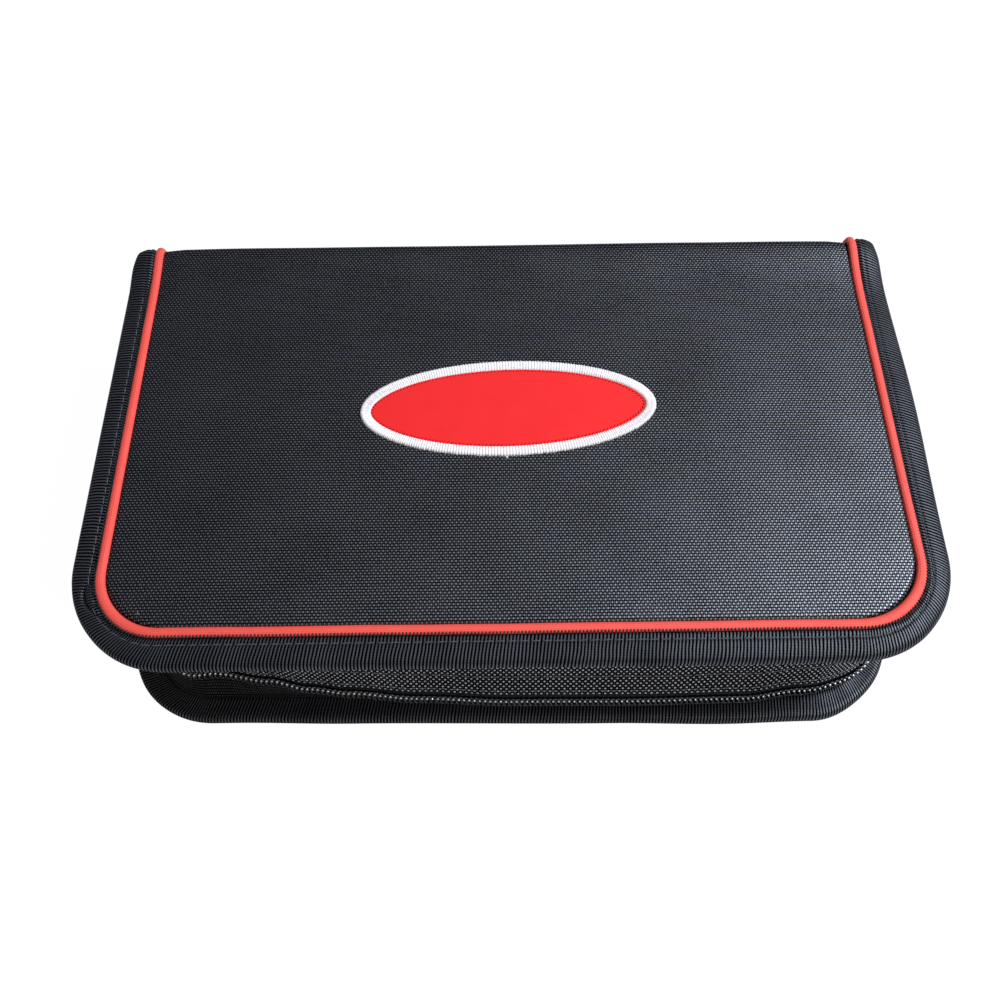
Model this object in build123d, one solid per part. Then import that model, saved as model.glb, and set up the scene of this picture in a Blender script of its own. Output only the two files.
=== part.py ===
from build123d import *
from collections import namedtuple
import math
import os

# Zip-around folio case of a travel tile game, closed and lying flat. The origin is on the ground
# under the middle of the case, X runs along its width, the zip front faces -Y, the spine is at +Y
# and Z is up. Millimetres. Every sewn layer is a block in seam coordinates: an inset from the
# outline of its panel and a depth below the outer face of that panel.

# Covers: a straight rear edge and two round front corners.
base_width = 238.0
base_corner = 27.0
lid_overhang = 6.0
lid_corner = 31.0
case_depth = 148.0
lid_setback = 2.0
case_height = 52.0
crease_r = 6.5
crease_trim_deg = 5.0

# Sewn layers and the bound, piped seam.
fabric_t = 0.7
stiffener_t = 1.5
lining_t = 0.4
binding_t = 0.7
binding_w = 8.7
binding_bevel = 0.8
piping_r = 1.1
piping_sides = 8
piping_proud = 0.3
seam_gap = 0.05
edge_gap = 0.2

# Gusset wall and coil zip, which runs round three sides between the two covers.
gusset_t = 1.0
gusset_rear_gap = 3.0
tape_t = 0.6
upper_tape_h = 11.0
chain_z = 11.0
chain_inset = 5.4
chain_gap = 0.9
coil_w = 2.4
coil_h = 1.95
coil_rear_gap = 2.5
gusset_edge_gap = 1.0
stop_length = 3.0
stop_w = 3.2

# Zip slider and pull.
slider_rear_gap = 21.7
slider_length = 10.0
slider_nose_h = 3.4
slider_mouth_h = 3.8
slider_plate_t = 1.0
slider_round = 1.0
slider_clear = 0.35
post_t = 0.5
post_length = 2.4
crown_w = 2.2
crown_t = 1.0
crown_window = 3.8
pull_t = 1.2
pull_length = 26.0
pull_w = 6.0
pull_tip_w = 7.0
pull_eye_w = 3.0
pull_eye_length = 3.4
pull_clear = 0.5

# Oval patch on the lid.
patch_length = 90.0
patch_width = 34.0
patch_border_w = 3.2
patch_y = 8.3
patch_t = 0.5
patch_border_t = 1.2

# Board halves, riveted into the lid and the base; as many cells as fit inside their rims.
board_side_gap = 12.0
board_front_gap = 14.5
board_rear_gap = 9.5
cell_pitch = 13.5
rib_w = 0.9
rib_h = 1.6
board_rim = 5.0
board_corner = 12.0
board_floor_t = 1.6
board_skirt_h = 3.4
board_wall = 1.6
rivet_r = 1.3
rivet_head_r = 2.2
rivet_head_t = 0.8
rivet_sides = 12
rivet_hole_gap = 0.1
rivet_boss_r = 3.2
rivet_edge = 4.0

# Racks, pouch and tiles that lie on the lower board, clear of its rivets.
contents_gap = 0.8
rack_side_gap = 5.0
rack_depth = 18.0
rack_h = 12.0
rack_wall = 1.6
rack_lip_h = 4.0
rack_shelf = 5.0
rack_gap = 4.0
pouch_side_gap = 4.0
pouch_h = 16.0
pouch_corner = 10.0
pouch_bevel = 4.0
pouch_wall = 3.0
pouch_rim = 4.5
pouch_gap = 5.0
tile_size = 12.5
tile_t = 4.5
tile_gap = 0.2
tile_layers = 2
tiles_per_layer = 50

lid_width = base_width + 2 * lid_overhang
front_y = -case_depth / 2
rear_y = case_depth / 2
spine_y = rear_y - piping_proud
lid_z = case_height - piping_proud
fold_y = spine_y - crease_r
piping_inset = binding_w + seam_gap + piping_r
wall_inset = piping_inset + piping_r + seam_gap
edge_inset = binding_t + edge_gap
step = 1.0

Layers = namedtuple("Layers", "proud flange stiffener lining tape inner end")


def seam_layers(proud, with_tape=True):
    """Depths at which the layers of a seam start, for a piping that stands proud by so much."""
    flange = 2 * piping_r - proud + seam_gap
    stiffener = flange + fabric_t
    lining = stiffener + stiffener_t
    tape = lining + lining_t
    inner = tape + (fabric_t if with_tape else 0.0)
    return Layers(proud, flange, stiffener, lining, tape, inner, inner + binding_t)


lid_layers = seam_layers(piping_proud)
base_layers = seam_layers(0.0)
spine_layers = seam_layers(piping_proud, with_tape=False)
lower_crease_layers = seam_layers(0.0, with_tape=False)
lid_inside_z = lid_z - lid_layers.tape
base_inside_z = base_layers.tape


def cord_section():
    """Section of the piping: a many-sided cord whose flats are a radius from its middle."""
    return RegularPolygon(piping_r, piping_sides, major_radius=False, rotation=180 / piping_sides)


def round_front(width, front, rear, corner):
    """Panel outline with a straight rear edge and two round front corners."""
    face = Pos(0, (front + rear) / 2) * Rectangle(width, rear - front)
    return fillet(face.vertices().sort_by(Axis.Y)[:2], corner)


class Cover:
    """A flat cover. Depths run inward from its outer face, which looks up (+1) or down (-1)."""

    def __init__(self, width, corner, front, outer_z, faces):
        self.width, self.corner, self.front = width, corner, front
        self.outer_z, self.faces = outer_z, faces

    def outline(self, inset, rear=fold_y):
        width = self.width - 2 * inset
        return round_front(width, self.front + inset, rear, self.corner - inset)

    def block(self, start, end, near, far, rear=fold_y):
        """Layer between two insets, or over the whole panel where end is None."""
        face = self.outline(start, rear)
        if end is not None:
            face -= self.outline(end, rear + step)
        return Pos(0, 0, self.outer_z) * extrude(Pos(0, 0, -self.faces * near) * face,
                                                 (near - far) * self.faces)

    def piping(self, proud):
        rim = Wire(self.outline(piping_inset).edges().sort_by(Axis.Y)[:-1])
        rim = Pos(0, 0, self.outer_z + self.faces * (proud - piping_r)) * rim
        return sweep(Plane(origin=rim @ 0, x_dir=(1, 0, 0), z_dir=rim % 0) * cord_section(), path=rim)


lid = Cover(lid_width, lid_corner, front_y + lid_setback, lid_z, 1)
base = Cover(base_width, base_corner, front_y, 0.0, -1)


class Spine:
    """The upright panel at the rear, which tapers from the width of the lid to that of the base."""

    low_z, high_z = crease_r, lid_z - crease_r

    def half_widths(self, inset):
        return base_width / 2 - inset, lid_width / 2 - inset

    def block(self, start, end, near, far):
        low, high = self.half_widths(start)
        low_in, high_in = (0.0, 0.0) if end is None else self.half_widths(end)
        side = [(low_in, self.low_z), (low, self.low_z), (high, self.high_z), (high_in, self.high_z)]
        face = Plane.XZ * make_face(Polyline(*side, close=True))
        strip = Pos(0, spine_y - near, 0) * extrude(face, far - near)
        return strip + mirror(strip, about=Plane.YZ)

    def piping(self, proud):
        low, high = self.half_widths(piping_inset)
        y = spine_y + proud - piping_r
        run = Vector(high - low, 0, self.high_z - self.low_z)
        cord = extrude(Pos(low, y, self.low_z) * cord_section(), run.length, dir=run)
        return cord + mirror(cord, about=Plane.YZ)


class Crease:
    """A quarter turn between the spine and a cover, above (+1) or below (-1) the spine."""

    def __init__(self, width, centre_z, side):
        self.half_width, self.side = width / 2, side
        self.centre = Vector(0, fold_y, centre_z)
        self.axis = Axis(self.centre, (-side, 0, 0))
        self.plane = Plane(origin=self.centre, x_dir=(1, 0, 0), z_dir=(0, -side, 0))

    def turn(self, face):
        """Turns a section down onto the spine, from just short of the cover, which needs the room."""
        face = (self.plane * face).rotate(self.axis, crease_trim_deg)
        return revolve(face, axis=self.axis, revolution_arc=90 - crease_trim_deg)

    def block(self, start, end, near, far):
        outer = self.half_width - start
        inner = 0.0 if end is None else self.half_width - end
        face = Pos((outer + inner) / 2, crease_r - (near + far) / 2) * Rectangle(outer - inner, far - near)
        strip = self.turn(face)
        return strip + mirror(strip, about=Plane.YZ)

    def piping(self, proud):
        x = self.half_width - piping_inset
        cord = self.turn(Pos(x, crease_r + proud - piping_r) * cord_section())
        return cord + mirror(cord, about=Plane.YZ)


spine = Spine()
upper_crease = Crease(lid_width, lid_z - crease_r, 1)
lower_crease = Crease(base_width, crease_r, -1)


def sewn(place, *blocks):
    """One sewn piece: its blocks, laid round a panel and joined."""
    piece = place.block(*blocks[0])
    for block in blocks[1:]:
        piece += place.block(*block)
    return piece


def shell_fabric(place, seam):
    """Outer fabric: the panel, its step down beside the piping and the allowance in the seam."""
    depth = seam.flange + fabric_t
    return sewn(place, (wall_inset, None, 0.0, fabric_t),
                (wall_inset, wall_inset + fabric_t, fabric_t, depth),
                (edge_inset, wall_inset, seam.flange, depth))


def shell_binding(place, seam):
    """Ribbed tape folded over the raw edges: two leaves and the fold between them."""
    return sewn(place, (0.0, binding_w, seam.flange - binding_t, seam.flange),
                (0.0, binding_t, seam.flange, seam.inner),
                (0.0, binding_w, seam.inner, seam.end))


def cover_binding(cover, seam):
    """Binding of a cover with its folded outer edges bevelled."""
    piece = shell_binding(cover, seam)
    middle = cover.outer_z - cover.faces * (seam.flange - binding_t + seam.end) / 2
    half = (seam.end - seam.flange + binding_t) / 2

    def on_outer_edge(edge):
        point = edge.center()
        outline = cover.outline(0.0).edges()
        near = min(outline, key=lambda line: line.distance_to(Vector(point.X, point.Y, 0)))
        level = abs(abs(point.Z - middle) - half) < seam_gap
        along = abs(point.Y - fold_y) > seam_gap
        return level and along and near.distance_to(Vector(point.X, point.Y, 0)) < seam_gap

    return chamfer(piece.edges().filter_by(on_outer_edge), binding_bevel)


def panel_pieces(name, place, seam, binding):
    """The fabric, foam, stiffener, lining, binding and piping of one panel."""
    inner_edge = wall_inset + fabric_t
    return {
        name + "_fabric": shell_fabric(place, seam),
        name + "_foam": place.block(inner_edge, None, fabric_t, seam.stiffener),
        name + "_stiffener": place.block(edge_inset, None, seam.stiffener, seam.lining),
        name + "_lining": place.block(edge_inset, None, seam.lining, seam.tape),
        name + "_binding": binding(place, seam),
        name + "_piping": place.piping(seam.proud),
    }


def spine_pieces():
    """The spine, whose cloth, binding and piping run on through both quarter turns."""
    pieces = panel_pieces("spine", spine, spine_layers, shell_binding)
    for crease, seam in ((upper_crease, spine_layers), (lower_crease, lower_crease_layers)):
        pieces["spine_fabric"] += shell_fabric(crease, seam)
        pieces["spine_binding"] += shell_binding(crease, seam)
        pieces["spine_piping"] += crease.piping(seam.proud)
    return pieces


# The gusset wall leans between the seam of the lid and the zip chain.
coil_top = chain_z + chain_gap / 2 + coil_h
coil_bottom = chain_z - chain_gap / 2 - coil_h
gusset_low_z = coil_top + gusset_edge_gap
gusset_high_z = lid_z - lid_layers.inner
gusset_low_inset = chain_inset - tape_t / 2 - seam_gap - gusset_t
gusset_high_inset = binding_w + edge_gap
side_rear_y = fold_y - gusset_rear_gap
coil_rear_y = side_rear_y - coil_rear_gap


def gusset_outline(z, inset, rear):
    """Outline of the leaning wall at a height, moved in from its outer face."""
    share = (z - gusset_low_z) / (gusset_high_z - gusset_low_z)

    def between(low, high):
        return low + (high - low) * share

    width = between(base_width - 2 * gusset_low_inset, lid_width - 2 * gusset_high_inset)
    front = between(base.front + gusset_low_inset, lid.front + gusset_high_inset)
    corner = between(base_corner - gusset_low_inset, lid_corner - gusset_high_inset)
    return Pos(0, 0, z) * round_front(width - 2 * inset, front + inset, rear, corner - inset)


def leaning_wall(low_z, high_z, outer, thickness):
    rear = side_rear_y + step
    skin = loft([gusset_outline(z, outer, side_rear_y) for z in (low_z, high_z)], ruled=True)
    inside = (low_z - step, high_z + step)
    return skin - loft([gusset_outline(z, outer + thickness, rear) for z in inside], ruled=True)


def gusset_fabric():
    flange = lid.block(edge_inset, gusset_high_inset + gusset_t, lid_layers.tape, lid_layers.inner,
                       side_rear_y)
    return leaning_wall(gusset_low_z, gusset_high_z, 0.0, gusset_t) + flange


def gusset_lining():
    low = coil_top + upper_tape_h + seam_gap
    return leaning_wall(low, gusset_high_z, gusset_t + seam_gap, lining_t)


def upper_tape():
    return leaning_wall(coil_top, coil_top + upper_tape_h, gusset_t + seam_gap, tape_t)


def chain_band(start, end, low_z, high_z):
    return base.block(start, end, low_z, high_z, coil_rear_y)


def lower_tape():
    """Tape sewn under the binding of the base, turned out over it and up to the lower coil."""
    outer, inner = chain_inset - tape_t / 2, chain_inset + tape_t / 2
    fold = binding_w + seam_gap
    leg = base_layers.end + seam_gap
    return (chain_band(edge_inset, fold + tape_t, base_layers.tape, base_layers.inner)
            + chain_band(fold, fold + tape_t, base_layers.inner, leg + tape_t)
            + chain_band(outer, fold, leg, leg + tape_t)
            + chain_band(outer, inner, leg + tape_t, coil_bottom))


def coil(low_z):
    return chain_band(chain_inset - coil_w / 2, chain_inset + coil_w / 2, low_z, low_z + coil_h)


chain_x = base_width / 2 - chain_inset
slider_y = coil_rear_y - slider_rear_gap


def end_stops():
    stop = Pos(chain_x, coil_rear_y + stop_length / 2, coil_bottom + coil_h / 2) * Box(
        stop_w, stop_length, coil_h)
    return stop + mirror(stop, about=Plane.YZ)


# Slider, in its own frame: X out of the case, Y towards the spine, Z up, origin in the chain.
plate_x = gusset_t + seam_gap + tape_t / 2 + slider_clear
crown_x = plate_x + slider_plate_t
pivot_x = crown_x + pull_clear + pull_t / 2
lip_top = -(chain_gap / 2 + coil_h + slider_clear)


def slider_outline():
    """The Y-shaped plate, narrow where the closed chain leaves it and wide at its mouths."""
    half, shoulder = slider_length / 2, slider_length / 6
    upper = [(-half, slider_nose_h), (shoulder, slider_mouth_h), (half, slider_mouth_h)]
    lower = [(y, -z) for y, z in reversed(upper)]
    face = make_face(Polyline(*upper, *lower, close=True))
    return Plane.YZ * fillet(face.vertices().filter_by(lambda v: abs(v.X) > shoulder + step), slider_round)


def crown():
    """Bridge on the outer plate that keeps the crossbar of the pull."""
    height = 2 * (pivot_x - crown_x) + crown_t
    length = crown_window + 2 * crown_t
    outer = Pos(crown_x + height / 2, 0) * Rectangle(height, length)
    outer = fillet(outer.vertices().filter_by(lambda v: v.X > crown_x + crown_t), crown_t)
    window = Pos(crown_x + (height - crown_t) / 2, 0) * Rectangle(height - crown_t, crown_window)
    return Pos(0, 0, -crown_w / 2) * extrude(outer - window, crown_w)


def slider():
    outline = slider_outline()
    plates = [Pos(x, 0, 0) * extrude(outline, slider_plate_t) for x in (plate_x, -crown_x)]
    post_y = slider_length / 2 - slider_round - post_length / 2
    post = Pos(0, post_y, 0) * Box(2 * plate_x, post_length, post_t)
    lips = Pos(-plate_x, 0, 0) * extrude(outline, 2 * plate_x)
    lips &= Pos(0, 0, lip_top - slider_length / 2) * Box(2 * plate_x, slider_length, slider_length)
    lips -= Box(tape_t + 2 * slider_clear, 2 * slider_length, 2 * slider_length)
    body = plates[0] + plates[1] + post + lips + crown()
    return Pos(chain_x, slider_y, chain_z) * body


def pull():
    """Flat tab with an eye round the crown and a round crossbar under it."""
    eye_end = -pull_t / 2 - pull_eye_length
    neck, tip = eye_end - pull_t, -pull_length
    half, tip_half = pull_w / 2, pull_tip_w / 2
    side = [(pull_t / 2, half), (neck, half), (tip + tip_half, tip_half), (tip, tip_half)]
    face = make_face(Polyline(*side, *[(y, -z) for y, z in reversed(side)], close=True))
    face = fillet(face.vertices().filter_by(lambda v: v.X < tip + step), tip_half - step)
    eye = Pos((eye_end - pull_t / 2) / 2, 0) * Rectangle(pull_eye_length, pull_eye_w)
    grip = Pos(tip + pull_tip_w, 0) * SlotOverall(pull_tip_w, pull_eye_w / 2)
    tab = Pos(-pull_t / 2, 0, 0) * extrude(Plane.YZ * (face - eye - grip), pull_t)
    end_cut = Pos(0, pull_t / 2, 0) * Box(2 * pull_t, pull_t, 2 * pull_w)
    bar = Cylinder(pull_t / 2, pull_w)
    return Pos(chain_x + pivot_x, slider_y, chain_z) * (tab - end_cut + bar)


def patch_ellipse(inset):
    return Pos(0, patch_y, lid_z) * Ellipse(patch_length / 2 - inset, patch_width / 2 - inset)


def patch_ground():
    return extrude(patch_ellipse(patch_border_w), patch_t)


def patch_border():
    """Overlocked edge of the patch, bevelled outside and inside."""
    ring = extrude(patch_ellipse(0.0) - patch_ellipse(patch_border_w), patch_border_t)
    return chamfer(ring.faces().sort_by(Axis.Z)[-1].edges(), patch_border_t / 2)


board_width = base_width - 2 * board_side_gap
board_front_y = front_y + board_front_gap
board_rear_y = rear_y - board_rear_gap
board_depth = board_rear_y - board_front_y
board_h = board_skirt_h + board_floor_t + rib_h
board_columns = int((board_width - 2 * board_rim) // cell_pitch)
base_rows = int((board_depth - 2 * board_rim) // cell_pitch)
lid_rows = base_rows - 1


def rivet_places():
    x = board_width / 2 - board_corner
    y = board_depth / 2 - rivet_edge
    return [Pos(sx * x, sy * y, 0) for sx in (-1, 1) for sy in (-1, 1)]


def board(rows):
    """Board half with its cells up: a skirted plate, and ribs that keep each tile in its cell."""
    outline = fillet(Rectangle(board_width, board_depth).vertices(), board_corner)
    hollow = fillet(Rectangle(board_width - 2 * board_wall, board_depth - 2 * board_wall).vertices(),
                    board_corner - board_wall)
    part = extrude(outline, board_h) - extrude(hollow, board_skirt_h)
    bosses = [place * extrude(Circle(rivet_boss_r), board_skirt_h) for place in rivet_places()]
    holes = [place * extrude(Circle(rivet_r + rivet_hole_gap), board_h) for place in rivet_places()]
    cell = cell_pitch - rib_w
    grid = GridLocations(cell_pitch, cell_pitch, board_columns, rows)
    cells = [Pos(0, 0, board_h - rib_h / 2) * place * Box(cell, cell, rib_h) for place in grid]
    return part + bosses - cells - holes


def rivets():
    """Shanks from the lining up through the bosses, with low domed heads on the board."""
    shank = extrude(RegularPolygon(rivet_r, rivet_sides), board_h + rivet_head_t / 2)
    head = extrude(RegularPolygon(rivet_head_r, rivet_sides), rivet_head_t)
    head = Pos(0, 0, board_h) * chamfer(head.faces().sort_by(Axis.Z)[-1].edges(), rivet_head_t / 2)
    return Compound([place * (shank + head) for place in rivet_places()])


board_y = (board_front_y + board_rear_y) / 2
in_base = Pos(0, board_y, base_inside_z)
in_lid = Pos(0, board_y, lid_inside_z) * Rot(180, 0, 0)
contents_z = base_inside_z + board_h
rivet_strip = rivet_edge + rivet_head_r + contents_gap
rack_length = (board_width - rack_gap) / 2 - rack_side_gap
rack_front_y = board_front_y + rivet_strip
rack_rear_y = rack_front_y + 2 * rack_depth + rack_gap


def rack():
    """Tile rack: a front lip, a shelf and a leaning back over a hollow foot closed at both ends."""
    crest = rack_depth - rack_lip_h - rack_wall
    shelf_end = rack_wall + rack_shelf
    profile = [(0, 0), (0, rack_lip_h), (rack_wall, rack_lip_h), (rack_wall, rack_wall),
               (shelf_end, rack_wall), (crest - rack_wall, rack_h), (crest, rack_h), (rack_depth, 0)]
    foot = [(shelf_end + rack_wall, 0), (crest - rack_wall / 2, rack_h - 2 * rack_wall),
            (rack_depth - 2 * rack_wall, 0)]
    body = extrude(Plane.YZ * make_face(Polyline(*profile, close=True)), rack_length / 2, both=True)
    inside = extrude(Plane.YZ * make_face(Polyline(*foot, close=True)),
                     rack_length / 2 - rack_wall, both=True)
    return body - inside


def racks():
    """Four racks, two by two, in front of the pouch."""
    x = (rack_length + rack_gap) / 2
    places = [(sx * x, rack_front_y + row * (rack_depth + rack_gap)) for row in (0, 1) for sx in (-1, 1)]
    return {f"rack_{i + 1}": Pos(px, py, contents_z) * rack() for i, (px, py) in enumerate(places)}


pouch_length = board_width - 2 * pouch_side_gap
pouch_front_y = rack_rear_y + pouch_gap
pouch_depth = board_rear_y - rivet_strip - pouch_front_y
in_pouch = Pos(0, pouch_front_y + pouch_depth / 2, contents_z)
tile_pitch = tile_size + 2 * tile_gap
tile_columns = int((pouch_length - 2 * pouch_wall - 2 * pouch_rim) // tile_pitch)
tile_rows = int((pouch_depth - 2 * pouch_rim) // tile_pitch)


def tile_pouch():
    """Pouch, full and lying flat, with the room that the tiles take up."""
    shell = extrude(RectangleRounded(pouch_length, pouch_depth, pouch_corner), pouch_h)
    shell = chamfer(shell.edges().filter_by(Plane.XY), pouch_bevel)
    room = (tile_columns * tile_pitch, tile_rows * tile_pitch, tile_layers * (tile_t + tile_gap) + tile_gap)
    return in_pouch * (shell - Pos(0, 0, pouch_wall + room[2] / 2) * Box(*room))


def tiles():
    grid = list(GridLocations(tile_pitch, tile_pitch, tile_columns, tile_rows))[:tiles_per_layer]
    rise = tile_t + tile_gap
    first = pouch_wall + tile_gap + tile_t / 2
    return Compound([in_pouch * Pos(0, 0, first + layer * rise) * place * Box(tile_size, tile_size, tile_t)
                     for layer in range(tile_layers) for place in grid])


pieces = {
    **panel_pieces("lid", lid, lid_layers, cover_binding),
    **panel_pieces("base", base, base_layers, cover_binding),
    **spine_pieces(),
    "gusset_fabric": gusset_fabric(),
    "gusset_lining": gusset_lining(),
    "zip_tape_upper": upper_tape(),
    "zip_tape_lower": lower_tape(),
    "zip_coil_upper": coil(chain_z + chain_gap / 2),
    "zip_coil_lower": coil(coil_bottom),
    "zip_end_stops": end_stops(),
    "zip_slider": slider(),
    "zip_pull": pull(),
    "patch_ground": patch_ground(),
    "patch_border": patch_border(),
    "board_upper": in_lid * board(lid_rows),
    "board_upper_rivets": in_lid * rivets(),
    "board_lower": in_base * board(base_rows),
    "board_lower_rivets": in_base * rivets(),
    **racks(),
    "tile_pouch": tile_pouch(),
    "tiles": tiles(),
}

os.makedirs("parts", exist_ok=True)
for node, shape in pieces.items():
    export_step(shape, f"parts/{node}.step")
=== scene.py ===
import bisect
import bmesh
import bpy
from collections import namedtuple
from functools import partialmethod
from itertools import accumulate
from math import copysign, cos, dist, exp, hypot, pi, radians, sin, sqrt
from mathutils import Matrix, Vector, noise


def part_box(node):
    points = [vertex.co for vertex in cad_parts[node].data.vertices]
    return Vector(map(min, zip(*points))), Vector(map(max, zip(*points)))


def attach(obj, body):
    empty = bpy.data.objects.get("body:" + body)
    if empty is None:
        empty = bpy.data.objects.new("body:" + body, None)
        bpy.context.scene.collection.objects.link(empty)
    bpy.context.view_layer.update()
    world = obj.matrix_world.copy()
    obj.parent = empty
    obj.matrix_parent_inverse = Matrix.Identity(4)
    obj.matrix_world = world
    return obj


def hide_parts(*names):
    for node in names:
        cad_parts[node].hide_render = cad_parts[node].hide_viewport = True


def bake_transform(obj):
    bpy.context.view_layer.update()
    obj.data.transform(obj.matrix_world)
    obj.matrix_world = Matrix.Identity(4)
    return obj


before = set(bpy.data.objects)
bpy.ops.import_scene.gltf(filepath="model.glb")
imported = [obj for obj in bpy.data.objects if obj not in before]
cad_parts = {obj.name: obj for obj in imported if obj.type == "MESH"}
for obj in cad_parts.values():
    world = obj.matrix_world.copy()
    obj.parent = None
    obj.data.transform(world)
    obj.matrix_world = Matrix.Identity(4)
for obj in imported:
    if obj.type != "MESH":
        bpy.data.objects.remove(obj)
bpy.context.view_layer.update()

# The case lies closed on the ground, zip front towards -Y and spine at +Y. Metres throughout.
# Places come from the frame; the sizes below are what the cloth and its sewing add to them.
mm = 0.001

lid_low, lid_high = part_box("lid_binding")
base_low, base_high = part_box("base_binding")
piping_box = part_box("lid_piping")
wall_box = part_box("gusset_lining")
coil_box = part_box("zip_coil_lower")
upper_coil_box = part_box("zip_coil_upper")

lid_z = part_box("lid_fabric")[1].z
base_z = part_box("base_fabric")[0].z
fold_y = lid_high.y
spine_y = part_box("spine_fabric")[1].y
crease_r = spine_y - fold_y
middle_z = (lid_z + base_z) / 2
lid_corner = 31.0 * mm
base_corner = 27.0 * mm

piping_r = (piping_box[1].z - piping_box[0].z) / 2
piping_inset = lid_high.x - piping_box[1].x + piping_r
piping_wide = 1.3 * mm
lid_piping_proud = piping_box[1].z - lid_z
base_piping_proud = base_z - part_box("base_piping")[0].z
panel_inset = piping_inset + piping_wide + 0.05 * mm
leaf_w = piping_inset - piping_wide + 0.1 * mm
cloth_t = 0.7 * mm
seam_stitch_inset = leaf_w * 0.74

Station = namedtuple("Station", "place inward outward along")
turn_steps, turn_squareness = 240, 6.0
to_left, to_rear, to_sky = Vector((-1, 0, 0)), Vector((0, 1, 0)), Vector((0, 0, 1))


def running(points):
    """The length of a line of points, up to each."""
    return list(accumulate(((two - one).length for one, two in zip(points, points[1:])), initial=0.0))


def stations_from(spots):
    """Stations of (place, inward, outward) spots."""
    lengths = running([spot[0] for spot in spots])
    return [Station(*spot, along) for spot, along in zip(spots, lengths)]


def turn_table():
    """Points and outward directions, as (y, z) shares of the radius, along a squarish quarter
    turn, and the length up to each."""
    raw = []
    for index in range(turn_steps + 1):
        angle = index / turn_steps * pi / 2
        spot = [part(angle) ** (2 / turn_squareness) for part in (cos, sin)]
        out = spot if 0 in spot else [part ** (turn_squareness - 1) for part in spot]
        raw.append((Vector(spot), Vector(out).normalized()))
    return raw, running([spot for spot, out in raw])


turn_points, turn_lengths = turn_table()


class Shell:
    """One cover with the half of the spine next to it; side is +1 for the lid, -1 for the base.
    corners holds the radii of the front corners on the left and on the right."""

    def __init__(self, half, half_middle, front, corners, level, side):
        self.half, self.half_middle, self.front, self.corners = half, half_middle, front, corners
        self.level, self.side = level, side
        self.turn_z = level - side * crease_r
        self.up = Vector((0, 0, side))

    def inside(self, inset, corners):
        """The same outline drawn in by an inset, with corners of its own."""
        return Shell(self.half - inset, self.half_middle - inset, self.front + inset, corners,
                     self.level, self.side)

    def spine_half(self, z):
        """Half width of the spine at a height, from its middle to the turn."""
        share = (z - middle_z) / (self.turn_z - middle_z)
        return self.half_middle + (self.half - self.half_middle) * share

    def round_turn(self, share):
        """Point and outward direction on the turn, from the spine at 0 to the cover at 1."""
        wanted = min(max(share, 0.0), 1.0) * turn_lengths[-1]
        index = min(bisect.bisect_right(turn_lengths, wanted), turn_steps) - 1
        part = (wanted - turn_lengths[index]) / (turn_lengths[index + 1] - turn_lengths[index])
        spot, out = (one.lerp(two, part) for one, two in zip(turn_points[index], turn_points[index + 1]))
        place = Vector((0, fold_y + spot.x * crease_r, self.turn_z + self.side * spot.y * crease_r))
        return place, Vector((0, out.x, self.side * out.y)).normalized()


middle_half = (lid_high.x + base_high.x) / 2
top = Shell(lid_high.x, middle_half, lid_low.y, (lid_corner, lid_corner), lid_z, 1)
bottom = Shell(base_high.x, middle_half, base_low.y, (base_corner, base_corner), base_z, -1)
lid_piping_corners = (18.5 * mm, 20.0 * mm)
base_piping_corners = (base_corner - piping_inset,) * 2


def spread(count):
    """Shares from 0 up to, but not at, 1."""
    return [index / count for index in range(count)]


def half_rim(shell, counts, corner, rear):
    """Spots of the right half of the outline: up the spine, over the turn, along the side from a
    rear line on the cover, round the corner and along the front to its middle."""
    spine_count, turn_count, side_count, corner_count, front_count = counts
    turn_y = shell.front + corner
    spots = []
    for share in spread(spine_count):
        z = middle_z + (shell.turn_z - middle_z) * share
        spots.append((Vector((shell.spine_half(z), spine_y, z)), to_left, to_rear))
    for share in spread(turn_count):
        place, out = shell.round_turn(share)
        spots.append((place + Vector((shell.half, 0, 0)), to_left, out))
    for share in spread(side_count):
        y = rear + (turn_y - rear) * share
        spots.append((Vector((shell.half, y, shell.level)), to_left, shell.up))
    for share in spread(corner_count):
        away = Vector((cos(share * pi / 2), -sin(share * pi / 2), 0))
        spots.append((Vector((shell.half - corner, turn_y, shell.level)) + away * corner, -away, shell.up))
    for share in spread(front_count) + [1.0]:
        x = (shell.half - corner) * (1 - share)
        spots.append((Vector((x, shell.front, shell.level)), to_rear, shell.up))
    return spots


def rim(shell, counts, rear=fold_y):
    """The whole outline as stations, from right to left round the front."""
    right = half_rim(shell, counts, shell.corners[1], rear)
    flip = Matrix.Diagonal((-1, 1, 1))
    mirrored = half_rim(shell, counts, shell.corners[0], rear)
    left = [tuple(flip @ part for part in spot) for spot in reversed(mirrored[:-1])]
    return stations_from(right + left)


def at(station, inset, depth):
    return station.place + station.inward * inset - station.outward * depth


def across_band(outer, inner, inset, depth):
    """A point between two outlines, inset 0 on the outer one and leaf_w on the inner one."""
    return outer.place.lerp(inner.place, inset / leaf_w) - outer.outward * depth


def blended(share):
    share = min(max(share, 0.0), 1.0)
    return share * share * (3 - 2 * share)


def between(table, x):
    """Smoothly read value at x, in metres, from a table of (x in mm, value) pairs."""
    for (x0, one), (x1, two) in zip(table, table[1:]):
        if x <= x1 * mm:
            return one + (two - one) * blended((x / mm - x0) / (x1 - x0))
    return table[-1][1]


def shown(name, data):
    """An object of the scene that holds the data."""
    item = bpy.data.objects.new(name, data)
    bpy.context.scene.collection.objects.link(item)
    return item


def mesh_object(name, bm, material):
    mesh = bpy.data.meshes.new(name)
    bm.to_mesh(mesh)
    bm.free()
    mesh.shade_smooth()
    mesh.materials.append(material)
    return shown(name, mesh)


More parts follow.
